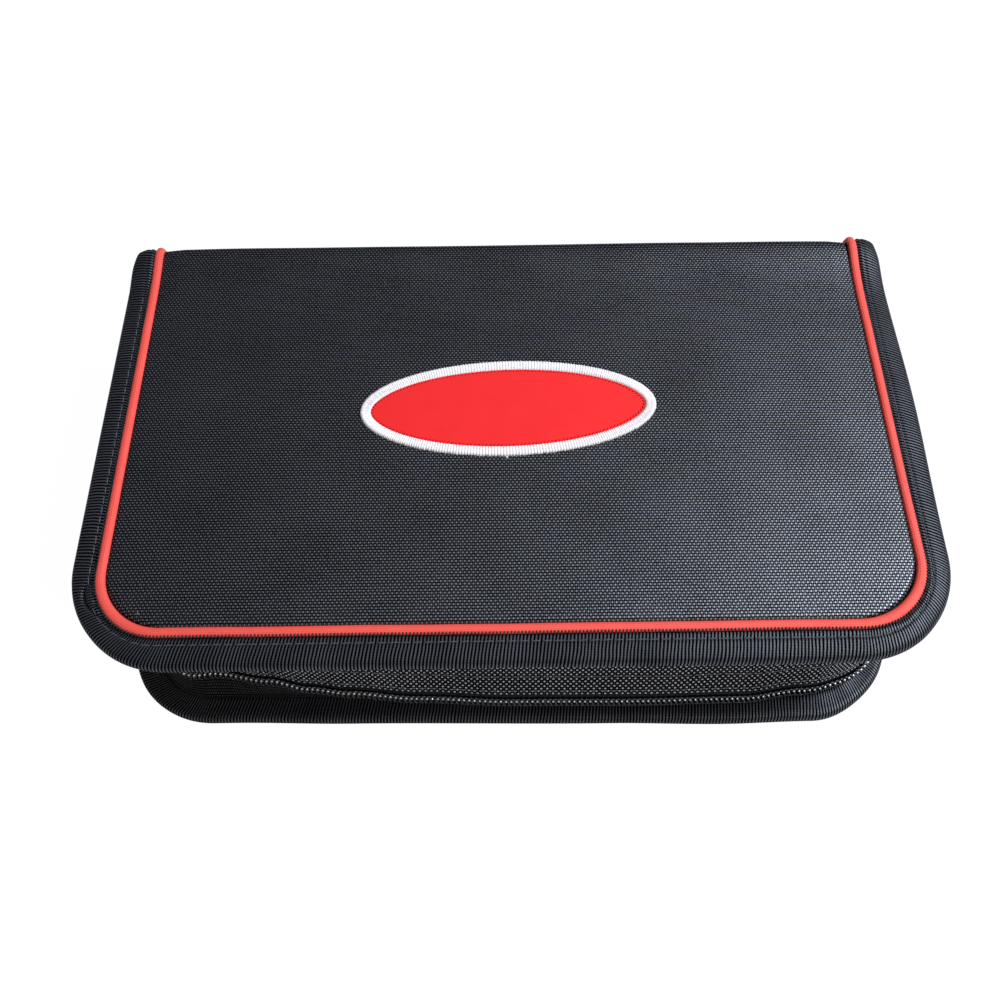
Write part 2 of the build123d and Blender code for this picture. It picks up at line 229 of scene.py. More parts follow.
def bent_grid(columns, rows, place, lay):
    """A grid of columns by rows, each vertex moved to place(column, row), with a UV map in metres
    from lay(column, row)."""
    bm = bmesh.new()
    bmesh.ops.create_grid(bm, x_segments=columns - 1, y_segments=rows - 1, size=0.5)
    layer = bm.loops.layers.uv.new("UVMap")
    spot = {vert: (round((vert.co.x + 0.5) * (columns - 1)), round((vert.co.y + 0.5) * (rows - 1)))
            for vert in bm.verts}
    for face in bm.faces:
        for loop in face.loops:
            loop[layer].uv = lay(*spot[loop.vert])
    for vert, (column, row) in spot.items():
        vert.co = place(column, row)
    return bm


def face_out(bm, outward):
    """Turns an open sheet so that its first face looks the way outward says."""
    bm.faces.ensure_lookup_table()
    bm.normal_update()
    if bm.faces[0].normal.dot(outward) < 0:
        bmesh.ops.reverse_faces(bm, faces=bm.faces)
    return bm


def thicken(piece, thickness):
    modifier = piece.modifiers.new("thickness", "SOLIDIFY")
    modifier.thickness, modifier.offset = thickness, -1.0
    return piece


def foot_along(stations, column, place):
    """How far along the outline the foot of a place near station column lies."""
    def ahead(index):
        one, two = stations[max(index - 1, 0)], stations[min(index + 1, len(stations) - 1)]
        return (place - stations[index].place).dot(two.place - one.place)

    step = 1 if ahead(column) > 0 else -1
    index = column
    while 0 <= index + step < len(stations) and ahead(index + step) * step > 0:
        index += step
    other = min(max(index + step, 0), len(stations) - 1)
    here, there = ahead(index), ahead(other)
    share = here / (here - there) if here != there else 0.0
    return stations[index].along + (stations[other].along - stations[index].along) * min(max(share, 0.0), 1.0)


def swept(name, stations, section, material, shift, inner=None, lean=None):
    """A band or cord: a closed section of (inset, depth) points carried along the stations. shift
    gives an extra (inset, depth) at a station and section point. With inner, a second outline,
    an inset of leaf_w lies on that outline. lean slants the pattern across the band there."""
    ring = section + section[:1]
    across = list(accumulate(map(dist, ring, ring[1:]), initial=0.0))

    def place(column, row):
        inset, depth = (here + more for here, more in zip(ring[row], shift(stations[column], *ring[row])))
        if inner:
            return across_band(stations[column], inner[column], inset, depth)
        return at(stations[column], inset, depth)

    def lay(column, row):
        if not inner:
            return stations[column].along, across[row]
        inset = min(ring[row][0], leaf_w)
        level = across_band(stations[column], inner[column], inset, 0)
        return foot_along(stations, column, level) + lean(stations[column].place) * inset, across[row]

    bm = bent_grid(len(stations), len(ring), place, lay)
    bmesh.ops.remove_doubles(bm, verts=bm.verts, dist=0.001 * mm)
    ends = [edge for edge in bm.edges if edge.is_boundary]
    bmesh.ops.holes_fill(bm, edges=ends, sides=0)
    bmesh.ops.recalc_face_normals(bm, faces=bm.faces)
    return mesh_object(name, bm, material)


def wave(point, scale, seed):
    """Smooth noise from -1 to 1 whose bumps are about scale metres across."""
    return noise.noise(point / scale + Vector((seed, 0.37 * seed, 0)))


# ---------------------------------------------------------------- shader nodes


def feed(inlet, value):
    """Gives an input a signal, a colour or a number."""
    if isinstance(value, Signal):
        value.tree.links.new(value.socket, inlet)
    else:
        inlet.default_value = (*value, 1.0) if isinstance(value, tuple) else value


class Signal:
    """A value or vector in a node tree. Arithmetic on it adds Math nodes."""

    def __init__(self, socket):
        self.socket, self.tree = socket, socket.id_data

    def into(self, kind, inlet=0):
        """A new node with this signal on one of its inputs."""
        node = self.tree.nodes.new(kind)
        feed(node.inputs[inlet], self)
        return node

    def math(self, operation, *others, clamp=False):
        node = self.into("ShaderNodeMath")
        node.operation, node.use_clamp = operation, clamp
        for inlet, value in zip(node.inputs[1:], others):
            feed(inlet, value)
        return Signal(node.outputs[0])

    __add__ = partialmethod(math, "ADD")
    __sub__ = partialmethod(math, "SUBTRACT")
    __mul__ = partialmethod(math, "MULTIPLY")
    __truediv__ = partialmethod(math, "DIVIDE")
    __pow__ = partialmethod(math, "POWER")

    def __rsub__(self, other):
        return self * -1.0 + other

    def __rtruediv__(self, other):
        return self ** -1.0 * other

    def clamped(self):
        return self.math("ADD", 0.0, clamp=True)

    def humps(self):
        """Round humps, one for every pi."""
        return self.math("SINE").math("ABSOLUTE")

    def noise(self, scale, detail=2.0):
        node = self.into("ShaderNodeTexNoise", "Vector")
        node.inputs["Scale"].default_value, node.inputs["Detail"].default_value = scale, detail
        return Signal(node.outputs["Fac"])

    def scaled(self, by):
        node = self.into("ShaderNodeVectorMath")
        node.operation = "SCALE"
        feed(node.inputs["Scale"], by)
        return Signal(node.outputs[0])

    def parts(self):
        return [Signal(outlet) for outlet in self.into("ShaderNodeSeparateXYZ").outputs]

    def mix(self, first, second):
        """The colour at this share between two."""
        node = self.tree.nodes.new("ShaderNodeMix")
        node.data_type = "RGBA"
        for index, value in ((0, self), (6, first), (7, second)):
            feed(node.inputs[index], value)
        return Signal(node.outputs[2])


def new_group(name, outputs, **values):
    """A group that takes a vector and numbers, with its inputs as signals and its outputs."""
    group = bpy.data.node_groups.new(name, "ShaderNodeTree")
    group.interface.new_socket(name="Vector", in_out="INPUT", socket_type="NodeSocketVector")
    for label, default in values.items():
        socket = group.interface.new_socket(name=label, in_out="INPUT", socket_type="NodeSocketFloat")
        socket.default_value = default
    for label in outputs:
        group.interface.new_socket(name=label, in_out="OUTPUT", socket_type="NodeSocketFloat")
    start, end = group.nodes.new("NodeGroupInput"), group.nodes.new("NodeGroupOutput")
    return group, {outlet.name: Signal(outlet) for outlet in start.outputs}, end.inputs


def weave_group():
    """Plain weave: threads both ways, each over and under the next, a set distance apart in mm."""
    group, given, result = new_group("weave", ["Height", "Crown"], Warp=0.6, Weft=0.6)
    spacing = group.nodes.new("ShaderNodeCombineXYZ")
    feed(spacing.inputs[0], 1000.0 / given["Warp"])
    feed(spacing.inputs[1], 1000.0 / given["Weft"])
    product = given["Vector"].into("ShaderNodeVectorMath")
    product.operation = "MULTIPLY"
    feed(product.inputs[1], Signal(spacing.outputs[0]))
    point = Signal(product.outputs[0])
    drift = (point.noise(0.35) - 0.5) * 0.35
    x, y = (part + drift for part in point.parts()[:2])

    def thread(across, along, sign):
        lift = ((along + across.math("FLOOR")) * pi).math("SINE") * (0.5 * sign) + 0.5
        return (across * pi).humps() ** 0.7 * lift

    warp, weft = thread(x, y, 1), thread(y, x, -1)
    feed(result["Height"], warp.math("MAXIMUM", weft))
    feed(result["Crown"], (weft * 2.6 - 1.15).clamped().math("MAXIMUM", (warp * 0.9 - 0.5).clamped()))
    return group


def rib_group():
    """Ribbed tape: a rib every pitch along the tape, each made of fine yarns across it."""
    group, given, result = new_group("ribs", ["Height", "Crown"], Pitch=0.98)
    point = given["Vector"].scaled(1000.0)
    along, across = point.parts()[:2]
    rib = ((along + (point.noise(0.12) - 0.5) * 0.9) / given["Pitch"] * pi).humps()
    yarn = (across * (pi / 0.42)).humps()
    height = rib ** 0.8 * (yarn * 0.25 + 0.75)
    feed(result["Height"], height)
    feed(result["Crown"], (height * 2.9 - 1.8).clamped())
    return group


def knit_group():
    """Fine knit: rows of small stitches with a pinhole between each four."""
    group, given, result = new_group("knit", ["Height"], Pitch=0.5)
    x, y = given["Vector"].scaled(1000.0 * pi / given["Pitch"]).parts()[:2]
    holes = (1.0 - (y * 0.5 + x).humps()) * (1.0 - y.humps())
    feed(result["Height"], 1.0 - holes ** 0.6)
    return group


def speck_group():
    """Lint: sparse small spots, 1 on a spot and 0 elsewhere."""
    group, given, result = new_group("lint", ["Mask"])
    cells = given["Vector"].into("ShaderNodeTexVoronoi", "Vector")
    cells.inputs["Scale"].default_value = 1 / lint_spacing
    near = Signal(cells.outputs["Distance"]).math("LESS_THAN", 0.014)
    chosen = Signal(cells.outputs["Color"]).parts()[0].math("GREATER_THAN", 0.72)
    feed(result["Mask"], near * chosen)
    return group


lint_spacing = 17.0 * mm
weave, ribs, knit, lint = weave_group(), rib_group(), knit_group(), speck_group()


class Finish:
    """A material being built: the inputs of its surface, and a vector to draw patterns on."""

    def __init__(self, name, roughness, specular=0.5, uv=False):
        self.material = bpy.data.materials.new(name)
        self.material.use_nodes = True
        self.tree = self.material.node_tree
        self.give("Roughness", roughness)
        self.give("Specular IOR Level", specular)
        source = self.tree.nodes.new("ShaderNodeUVMap" if uv else "ShaderNodeTexCoord")
        if uv:
            source.uv_map = "UVMap"
        self.vector = Signal(source.outputs["UV" if uv else "Object"])

    def give(self, label, value):
        feed(self.tree.nodes["Principled BSDF"].inputs[label], value)

    def use(self, group, **values):
        node = self.tree.nodes.new("ShaderNodeGroup")
        node.node_tree = group
        feed(node.inputs["Vector"], self.vector)
        for label, value in values.items():
            node.inputs[label].default_value = value
        return {outlet.name: Signal(outlet) for outlet in node.outputs}

    def shine(self, mask, index):
        """Gloss that lies only where the mask says."""
        self.give("Coat IOR", index)
        self.give("Coat Roughness", 0.5)
        self.give("Coat Weight", mask)

    def bump(self, height, depth):
        node = height.into("ShaderNodeBump", "Height")
        node.inputs["Distance"].default_value = depth
        self.give("Normal", Signal(node.outputs["Normal"]))

    def sheen(self, weight):
        self.give("Sheen Weight", weight)
        self.give("Sheen Roughness", 0.4)
        self.give("Sheen Tint", (0.75, 0.8, 0.95))


def woven(name, warp, weft, gap_shade, crown, depth, gloss=3.4, uv=True, sharp=1.0):
    """Woven cloth: dull gaps darkened with painted shade, paler shiny thread crowns whose paleness is a
    painted highlight, patchy tone and a little lint.
    """
    finish = Finish(name, 0.5, 0.0, uv)
    cloth = finish.use(weave, Warp=warp, Weft=weft)
    patches, threads = finish.vector.noise(45.0, 3.0), finish.vector.noise(900.0, 1.0)
    share = (cloth["Crown"] ** sharp * (threads * 1.3 + 0.35) * (patches * 0.9 + 0.55)).clamped()
    spots = finish.use(lint)["Mask"] * 0.55
    # Base colour: the gap colour is painted shade and the crown colour a painted highlight; the lint spots
    # are real.
    finish.give("Base Color", spots.mix(share.mix(gap_shade, crown), (0.45, 0.45, 0.46)))
    finish.shine(share, gloss)
    finish.bump(cloth["Height"], depth)
    finish.sheen(0.02)
    return finish.material


def ribbed(name, pitch, gap_shade, crown, depth):
    """Ribbed tape: painted shade between its ribs, a painted highlight on them, soft gloss along them."""
    finish = Finish(name, 0.5, 0.0, uv=True)
    tape = finish.use(ribs, Pitch=pitch)
    share = (tape["Crown"] * (finish.vector.noise(80.0, 3.0) + 0.5)).clamped()
    # Painted shade between the ribs, painted highlight on their crowns.
    finish.give("Base Color", share.mix(gap_shade, crown))
    finish.shine(share, 1.8)
    finish.bump(tape["Height"], depth)
    finish.sheen(0.03)
    return finish.material


def knitted(name, low, high, pitch, depth, roughness=0.6):
    """Bright fine-knit cloth, darker where the knit lies low as painted shade in its pinholes, with a soft
    tone change.
    """
    finish = Finish(name, roughness, 0.3, uv=True)
    height = finish.use(knit, Pitch=pitch)["Height"]
    # The low colour is painted shade in the pinholes; the noise adds a real random tone change.
    share = (height * 0.75 + finish.vector.noise(120.0, 3.0) * 0.4).clamped()
    finish.give("Base Color", share.mix(low, high))
    finish.bump(height, depth)
    return finish.material


def thread_finish(name, low, high):
    """Twisted thread, seen as fine slanting strands."""
    finish = Finish(name, 0.6, 0.3)
    strands = finish.vector.noise(2600.0)
    finish.give("Base Color", strands.mix(low, high))
    finish.bump(strands, 0.05 * mm)
    return finish.material


def glossy_nylon(name, low, high, roughness, index):
    """Drawn nylon, shiny and a little uneven in tone."""
    finish = Finish(name, roughness, 1.0)
    finish.give("IOR", index)
    finish.give("Base Color", finish.vector.noise(300.0).mix((low,) * 3, (high,) * 3))
    return finish.material


def moulded(name, low, high, roughness, coat=0.0, grain=700.0, depth=0.02):
    """Moulded plastic: faint mottling and a fine surface grain."""
    finish = Finish(name, roughness)
    fine = finish.vector.noise(grain)
    finish.give("Base Color", finish.vector.noise(60.0, 4.0).mix(low, high))
    finish.give("Roughness", fine * 0.16 + (roughness - 0.08))
    finish.give("Coat Weight", coat)
    finish.bump(fine, depth * mm)
    return finish.material


def enamel(name):
    """Dark enamelled metal with brighter metal where edges have rubbed."""
    finish = Finish(name, 0.32)
    edge = Signal(finish.tree.nodes.new("ShaderNodeNewGeometry").outputs["Pointiness"])
    fine = finish.vector.noise(900.0, 3.0)
    worn = ((edge * 8.0 - 4.15) * fine).clamped()
    finish.give("Base Color", worn.mix((0.02, 0.02, 0.022), (0.42, 0.42, 0.43)))
    finish.give("Metallic", worn * 0.5 + 0.5)
    finish.give("Roughness", fine * 0.2 + 0.25)
    finish.bump(fine, 0.01 * mm)
    return finish.material


# Woven and ribbed cloths below: each gap colour is painted shade and each crown colour a painted highlight.
oxford = woven("oxford_cloth", 0.606, 0.866, (0.0014, 0.0012, 0.0015), (0.027, 0.027, 0.038), 0.13 * mm,
               gloss=3.3)
# The gusset's near-white crowns are a painted highlight on black cloth.
gusset_cloth = woven("gusset_cloth", 0.866, 0.73, (0.0002, 0.0002, 0.0002), (0.5, 0.5, 0.505), 0.2 * mm,
                     gloss=2.0, sharp=2.6)
plain_lining = (0.35, 0.35, (0.012, 0.012, 0.013), (0.05, 0.05, 0.055), 0.05 * mm)
gusset_lining_cloth = woven("gusset_lining_cloth", *plain_lining)
lining_cloth = woven("lining_cloth", *plain_lining, uv=False)
tape_cloth = woven("zip_tape_cloth", 0.4, 0.4, (0.003, 0.003, 0.003), (0.024, 0.025, 0.027), 0.04 * mm,
                   gloss=1.7)
pouch_cloth = woven("pouch_cloth", 0.45, 0.45, (0.02, 0.021, 0.024), (0.12, 0.125, 0.14), 0.07 * mm, uv=False)
rib_pitch = 0.98
# Grosgrain: the gap colour is painted shade between the ribs, the crown colour a painted highlight on them.
grosgrain = ribbed("ribbed_tape", rib_pitch, (0.0008, 0.0008, 0.001), (0.053, 0.055, 0.064), 0.3 * mm)
# Knits: the low colour is painted shade in the pinholes.
coral = knitted("coral_piping", (0.75, 0.05, 0.034), (1.0, 0.12, 0.086), 0.6, 0.06 * mm)
patch_red = knitted("patch_twill", (0.85, 0.006, 0.006), (1.0, 0.026, 0.025), 0.55, 0.04 * mm, roughness=0.8)
white_thread = thread_finish("white_thread", (0.86, 0.77, 0.74), (1.0, 0.95, 0.92))
black_thread = thread_finish("black_thread", (0.004, 0.004, 0.005), (0.05, 0.052, 0.058))
grey_thread = thread_finish("grey_thread", (0.025, 0.027, 0.031), (0.14, 0.146, 0.16))
pale_thread = thread_finish("pale_thread", (0.05, 0.05, 0.05), (0.24, 0.24, 0.25))
red_thread = thread_finish("red_thread", (0.3, 0.004, 0.004), (0.7, 0.015, 0.014))
coil_nylon = glossy_nylon("coil_nylon", 0.001, 0.003, 0.34, 1.5)
# Near-white heads: a painted highlight on the black nylon coil.
highlight_head_nylon = glossy_nylon("coil_heads_painted_highlight", 0.9, 1.0, 0.3, 3.6)


# ---------------------------------------------------------------- the cover cloth


def panel_cloth(name, shell, corners, crown):
    """Cloth of one cover: a padded panel whose edge rolls down beside the piping, and which runs
    on over the turn to the middle of the spine."""
    edge_shell = shell.inside(panel_inset, corners)
    half, front = edge_shell.half, edge_shell.front
    flat, turn = fold_y - front, turn_lengths[-1] * crease_r
    total = flat + turn + abs(shell.turn_z - middle_z)
    roll_w, roll_depth = 1.3 * mm, 1.4 * mm
    corner_rows, rows, columns = 18, 110, 151
    corner_run = max(corners)

    def distance_back(row):
        if row <= corner_rows:
            return corner_run * (1 - cos(row / corner_rows * pi / 2))
        return corner_run + (total - corner_run) * (row - corner_rows) / (rows - 1 - corner_rows)

    def corner_on(x):
        return corners[1] if x > 0 else corners[0]

    def half_at(x, back):
        corner = corner_on(x)
        if back < corner:
            return half - corner + sqrt(max(corner ** 2 - (corner - back) ** 2, 0.0))
        if back < flat + turn:
            return half
        z = shell.turn_z + (middle_z - shell.turn_z) * (back - flat - turn) / (total - flat - turn)
        return edge_shell.spine_half(z)

    def to_edge(x, back):
        corner = corner_on(x)
        side = half_at(x, max(back, corner)) - abs(x)
        if back < corner and abs(x) > half - corner:
            return corner - hypot(abs(x) - half + corner, corner - back)
        return min(side, back)

    def flat_point(column, row):
        back = distance_back(row)
        across = sin((2 * column / (columns - 1) - 1) * pi / 2)
        return across * half_at(across, back), back

    def place(column, row):
        x, back = flat_point(column, row)
        edge = max(to_edge(x, back), 0.0)
        share = 1 - min(edge / roll_w, 1.0)
        bend = exp(-((back - flat - turn / 2) / (10 * mm)) ** 2) if crown else 0.0
        depth = roll_depth * (1 - sqrt(1 - share ** 2)) * (1 - 0.8 * bend)
        rise = min(edge / (30 * mm), 1.0)
        puff = rise * (2 - rise) * crown
        ripple = wave(Vector((x, back, 0)), 38 * mm, 3.1) * 0.16 * mm * rise if crown else 0.0
        if back <= flat:
            spot, out = Vector((0, front + back, shell.level)), shell.up
        elif back <= flat + turn:
            spot, out = shell.round_turn(1 - (back - flat) / turn)
        else:
            z = shell.turn_z - shell.side * (back - flat - turn)
            spot, out = Vector((0, spine_y, z)), to_rear
        fade = blended((flat + turn + 18 * mm - back) / (18 * mm))
        puffed = crown * 1.6 * blended((back - flat + 26 * mm) / (26 * mm)) * min(edge / (6 * mm), 1.0)
        taut = (0.85 + 1.2 * x) * mm * bend
        return spot + Vector((x, 0, 0)) + out * ((puff + ripple + puffed) * fade + taut - depth)

    bm = bent_grid(columns, rows, place, flat_point)
    piece = mesh_object(name, face_out(bm, shell.up), oxford)
    return thicken(piece, cloth_t)


# ---------------------------------------------------------------- binding and piping

rim_counts = (12, 8, 44, 30, 46)
fine_counts = (24, 14, 90, 48, 96)


def binding_section(outer, inner):
    """Closed section of the folded tape, from the inner edge of the outer leaf round the fold."""
    thick, fold = 0.6 * mm, 1.9 * mm
    swell, dip = 0.3 * mm, 0.26 * mm
    outside = []
    for index in range(15):
        inset = leaf_w - (leaf_w - fold) * index / 14
        dome = sin(pi * (leaf_w - inset) / leaf_w) * swell
        stitch = exp(-((inset - seam_stitch_inset) / (0.45 * mm)) ** 2) * dip
        outside.append((inset, outer - dome + stitch))
    middle, reach = (outer + inner) / 2, (inner - outer + swell) / 2
    for index in range(1, 12):
        angle = pi * index / 12
        outside.append((fold * (1 - sin(angle) ** 0.9), middle - reach * cos(angle)))
    outside += [(leaf_w * 0.3, inner), (seam_stitch_inset, inner - dip), (leaf_w, inner)]
    inside = [(leaf_w, inner - thick), (fold, inner - thick), (thick, middle), (fold, outer + thick),
              (leaf_w, outer + thick)]
    return outside + inside


def binding(name, shell, corners, outer, inner, droop):
    """Tape folded over the seam: it droops towards its free edge, dips beside the cord at the
    sides, and bunches where it turns the front corners."""
    fold_spot = corner_point(shell, -1) + (Vector((-5, 11, 0)) * mm if droop else Vector((14, -4, 0)) * mm)

    def shift(station, inset, depth):
        place = station.place
        is_front = blended((shell.front + 12 * mm - place.y) / (12 * mm))
        at_corner = max(0.0, 1 - (place - corner_point(shell, place.x)).length / (24 * mm))
        free, edge = 1 - inset / leaf_w, (max(inset, 0.0) / leaf_w) ** 3
        outside = depth < (outer + inner) / 2
        loose = 1.0 if shell is top else 2.6
        bunch = wave(place, 4.6 * mm, 8.3) * 0.55 * loose * mm * at_corner * edge
        bunch += wave(place, 26 * mm, 1.7) * 0.3 * mm * edge
        turned = (place - turn_middle(shell, place.x)).length
        pull = (0.45 + wave(place, 40 * mm, 3.3) * 0.15) * mm * (1 - is_front) * max(free, 0.0) * droop
        pull += 1.1 * mm * exp(-(turned / (4.5 * mm)) ** 2) * max(free, 0.0) ** 2
        pull -= edge_spread(shell, place, is_front) * max(free, 0.0)
        fall = droop * (1.25 - 0.45 * is_front) * mm * max(free, 0.0) ** 1.6
        lift = (3.1 + 3 * place.x) * mm if droop else 0.6 * mm
        fall -= lift * exp(-(turned / (11 * mm)) ** 2) * (1 - 0.2 * max(free, 0.0))
        if outside != (shell is top):
            return pull, fall
        groove = 0.7 * mm * outside * (1 - is_front) * blended((inset / leaf_w - 0.8) / 0.2)
        ripple = wave(place, 8 * mm, 5.1) * (0.1 + 0.5 * loose * at_corner) * mm * edge
        along = place.y - fold_spot.y if droop else place.x - fold_spot.x
        near = exp(-((place - fold_spot).length / (7 * mm)) ** 2)
        crease_at = leaf_w * (0.5 + 0.5 * (along / (10 * mm)) ** 2)
        crease = exp(-((inset - crease_at) / (0.6 * mm)) ** 2) * 1.1 * mm * near
        lifted = blended((inset - crease_at) / (2 * mm)) * 0.9 * mm * near
        return bunch + pull, fall + (groove + ripple + crease - lifted) * (1 if outside else -1)

    outline, edge_line = band_lines(shell, corners)
    return swept(name, outline, binding_section(outer, inner), grosgrain, shift, edge_line, tape_lean)


def band_lines(shell, corners):
    """The outline of a cover, and the inner edge of its binding."""
    return rim(shell, fine_counts), rim(shell.inside(leaf_w, corners), fine_counts)


def edge_spread(shell, place, is_front):
    """How far outwards the free edge of a binding has been worked."""
    if shell is top:
        side = 1.3 * exp(-((place.y - 12 * mm) / (34 * mm)) ** 2) * (place.x > 0)
        front = -0.4 * exp(-((place.x - 100 * mm) / (15 * mm)) ** 2)
    else:
        side = -0.4 * blended((10 * mm - place.y) / (50 * mm)) * (place.x > 0)
        front = between([(-85, -0.4), (-50, 0.3), (30, 1.2), (65, 1.9), (92, 1.3), (112, -0.4)], place.x)
    return (side * (1 - is_front) + front * is_front) * mm


def tape_lean(place):
    """Slant of the ribs, since the tape was pulled along as it was sewn."""
    if place.y < -55 * mm:
        return between([(-100, 0.28), (-30, 0.14), (85, 0.12), (110, 0.3)], place.x)
    return 0.32 if place.x > 0 else between([(-55, 0.28), (-20, 0.08), (100, 0.08)], place.y)


def turn_middle(shell, x):
    """The middle of the turn between the spine and the cover on the side of x."""
    return shell.round_turn(0.5)[0] + Vector((copysign(shell.half, x), 0, 0))


def corner_point(shell, x):
    """The middle of the front corner on the side of x."""
    away = shell.corners[0] * (1 - sqrt(0.5))
    return Vector((copysign(shell.half - away, x), shell.front + away, shell.level))


def piping(name, shell, corners, proud):
    """The cord between cloth and binding: wider than high, lifted where it meets the turn."""
    section = [(piping_wide * cos(angle), piping_r - proud - piping_r * sin(angle))
               for angle in (2 * pi * share for share in spread(18))]

    def shift(station, inset, depth):
        place = station.place
        at_corner = max(0.0, 1 - (place - corner_point(shell, place.x)).length / (20 * mm))
        turned = (place.yz - turn_middle(shell, place.x).yz).length
        lift = (2.0 + 4 * place.x) * mm * exp(-(turned / (9 * mm)) ** 2) * (shell is top)
        return (wave(place, 16 * mm, 6.2) * 0.12 * mm + inset * (0.12 + 0.2 * at_corner),
                max(wave(place, 11 * mm, 2.9), 0.0) * 0.1 * mm - lift)

    return swept(name, rim(shell.inside(piping_inset, corners), rim_counts), section, coral, shift)


def edge_loops(name, shell, corners, depth):
    """Small thread loops along the woven edge of the tape, lapping the cord."""
    outline, edge_line = band_lines(shell, corners)
    line = [at(one, (0.2 * wave(one.place, 5 * mm, 4.4) - 0.05) * mm, depth) for one in edge_line]
    outs = [one.outward for one in outline]
    frames = [frame_matrix(place, side, along, out, (0.6, 0.28, 0.3))
              for place, along, side, out in evenly(line, outs, rib_pitch * mm)
              if (place - turn_middle(shell, place.x)).length > 16 * mm]
    return joined_shapes(name, frames, black_thread)


def joined_shapes(name, frames, material, subdivisions=1):
    """Many small ellipsoids in one mesh; each frame is a matrix with the radii in it."""
    ball, whole = bmesh.new(), bmesh.new()
    bmesh.ops.create_icosphere(ball, subdivisions=subdivisions, radius=1.0)
    one = bpy.data.meshes.new("one_shape")
    ball.to_mesh(one)
    ball.free()
    unit = [part for vert in one.vertices for part in vert.co]
    for matrix in frames:
        one.vertices.foreach_set("co", unit)
        one.transform(matrix)
        whole.from_mesh(one)
    bpy.data.meshes.remove(one)
    return mesh_object(name, whole, material)


def frame_matrix(place, along, side, out, radii):
    """The place and axes of a small shape, with a radius in mm on each axis."""
    axes = [(*(axis * radius * mm), 0.0) for axis, radius in zip((along, side, out), radii)]
    return Matrix(axes + [(*place, 1.0)]).transposed()


def evenly(points, outs, pitch):
    """(place, along, sideways, outward) every pitch along a line of points."""
    lengths = running(points)
    count = int(lengths[-1] / pitch)
    spots, segment = [], 0
    for index in range(count):
        wanted = (index + 0.5) * lengths[-1] / count
        while lengths[segment + 1] < wanted:
            segment += 1
        span = lengths[segment + 1] - lengths[segment]
        share = (wanted - lengths[segment]) / span
        place = points[segment].lerp(points[segment + 1], share)
        along = (points[segment + 1] - points[segment]).normalized()
        out = outs[segment].lerp(outs[segment + 1], share).normalized()
        spots.append((place, along, out.cross(along).normalized(), out))
    return spots


def stitch_line(name, spots, material, length, thick):
    """Stitches of a length and thickness in mm, each leaning a little."""
    frames = []
    for place, along, side, out in spots:
        lean = (along + side * 0.06).normalized()
        frames.append(frame_matrix(place, lean, out.cross(lean), out, (length / 2, thick, thick)))
    return joined_shapes(name, frames, material, 2)


# ---------------------------------------------------------------- gusset and zip

gusset_low_z = upper_coil_box[1].z + 0.3 * mm
gusset_top_z = lid_low.z + 0.7 * mm
chain_z = (upper_coil_box[0].z + coil_box[1].z) / 2
chain_inset = base_high.x - (coil_box[1].x - 1.2 * mm)
wall_rear = wall_box[1].y
wall_t, tape_t, behind_wall = 0.8 * mm, 0.5 * mm, 0.95 * mm
hem_share, lining_share, stitch_row_shares, tape_share = 0.95, 0.68, (0.79, 0.92), 0.69
tooth_pitch = 1.58 * mm
lid_wall_inset = lid_high.x - wall_box[1].x - 1.05 * mm
base_wall_inset = chain_inset - 0.4 * mm
gusset_counts = (0, 0, 40, 40, 60)
lid_line, base_line = rim(top, gusset_counts, wall_rear), rim(bottom, gusset_counts, wall_rear)
wall_outs = [-station.inward for station in base_line]
slack_front = [(-118, -2.5), (-106, -6.0), (-90, -7.6), (-73.4, -5.2), (-61.3, -2.8), (-49, -1.4), (-28, 0.3),
               (0, 1.6), (38, 1.9), (70, 1.5), (87, -0.6), (100, -1.8), (120, -0.6)]


def bulge(place):
    """How far the slack zip stands out from its line (or, negative, sags in) along the front."""
    return between(slack_front, place.x) * blended((-36 * mm - place.y) / (20 * mm)) * mm


def raised(place):
    """How far the zip rises where it has sagged in."""
    return max(-bulge(place), 0.0) * 0.3


def level_point(station, inset, z):
    point = at(station, inset, 0)
    return Vector((point.x, point.y, z))


def wall_point(index, share, deeper=0.0):
    """A point of the gusset: share 0 at the seam of the lid, 1 at the hem beside the zip."""
    high, low = lid_line[index], base_line[index]
    start = level_point(high, lid_wall_inset, gusset_top_z)
    end = level_point(low, base_wall_inset, gusset_low_z)
    point = start.lerp(end, share) + Vector((0, 0, raised(low.place) * max(share, 0.0) ** 2))
    slack = sin(pi * min(max(share, 0.0), 1.0) ** 1.2)
    hang = blended((wall_rear - low.place.y) / (45 * mm)) * min(1 + bulge(low.place) / (10 * mm), 1)
    sag = (0.8 + 3.8 * hang) * mm
    corner = max(0.0, 1 - (high.place - corner_point(top, high.place.x)).length / (40 * mm))
    fold = wave(Vector((point.x, point.y, point.z * 0.6)), 15 * mm, 4.4) * (0.3 + 1.1 * corner) * mm
    out = bulge(low.place) * blended((share - 0.28) / 0.72)
    return point + low.inward * (slack * (sag + fold) + deeper - out)


def chain_line(offset, deeper=0.0):
    """The line of the zip, at a height from its middle: its points and outward directions."""
    points = [level_point(station, chain_inset + deeper, chain_z + offset + raised(station.place))
              - station.inward * bulge(station.place) for station in base_line]
    return points, wall_outs


def strip(name, rows, place, material, thickness):
    """A cloth strip along the gusset, its rows placed by place(index, row)."""
    def lay(column, row):
        return base_line[column].along, (place(0, row) - place(0, 0)).length

    bm = bent_grid(len(base_line), rows, place, lay)
    return thicken(mesh_object(name, face_out(bm, Vector((1, 0, 0))), material), thickness)


def stretched(piece):
    """Hands a strip back as it is."""
    return piece


